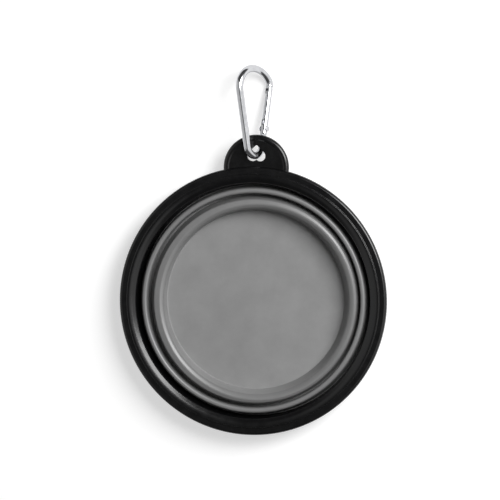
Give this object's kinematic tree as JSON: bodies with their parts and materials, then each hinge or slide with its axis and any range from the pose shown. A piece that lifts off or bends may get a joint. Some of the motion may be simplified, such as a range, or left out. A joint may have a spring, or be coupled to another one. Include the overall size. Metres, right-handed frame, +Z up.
{
  "type": "folding bowl",
  "caption": "Round folding silicone bowl, folded flat, with a stiff rim, a round hanging tab with a heart-shaped hole, and a wire snap hook with a sprung gate.",
  "frame": {"origin": "centre of the underside of the base, on the table", "axes": "+Z up through the bowl, +Y from the bowl towards the tab and the snap hook, +X to the right of the picture"},
  "size_m": [0.13, 0.179, 0.0209],
  "materials": {
    "silicone": "satin grey silicone",
    "rim_plastic": "satin black plastic",
    "plated_steel": "bright plated steel wire, slightly worn",
    "spring_steel": "plain steel"
  },
  "bodies": {
    "base": {"base_cup": "silicone", "lower_fold": "silicone"},
    "middle": {"middle_ring": "silicone", "upper_fold": "silicone"},
    "top": {"upper_wall": "silicone", "rim": "rim_plastic"},
    "snap_hook": {"hook": "plated_steel", "gate_rivet": "plated_steel"},
    "hook_gate": {"gate": "plated_steel", "latch_pin": "plated_steel", "gate_spring": "spring_steel"},
    "gate_plunger": {"plunger": "spring_steel"}
  },
  "joints": [
    {"name": "lower_fold_slide", "type": "slide", "parent": "base", "child": "middle", "axis": [0, 0, 1], "range_m": [0, 0.017], "deforming": ["lower_fold"]},
    {"name": "upper_fold_slide", "type": "slide", "parent": "middle", "child": "top", "axis": [0, 0, 1], "range_m": [0, 0.017], "deforming": ["upper_fold"]},
    {"name": "hook_turn", "type": "hinge", "parent": "top", "child": "snap_hook", "pos_m": [0, 0.07027, 0.01255], "axis": [-0.0522, 0.9961, -0.0715], "range_deg": [0, 71]},
    {"name": "gate_swing", "type": "hinge", "parent": "snap_hook", "child": "hook_gate", "pos_m": [0.00272, 0.08299, 0.00698], "axis": [0.8057, 0.0843, 0.5863], "range_deg": [0, 52], "stiffness_Nm_per_rad": 0.03, "springref_deg": -40.11},
    {"name": "plunger_slide", "type": "slide", "parent": "hook_gate", "child": "gate_plunger", "axis": [0.0714, 0.9688, -0.2374], "range_m": [0, 0.00075], "stiffness_N_per_m": 300, "springref_m": -0.004}
  ]
}
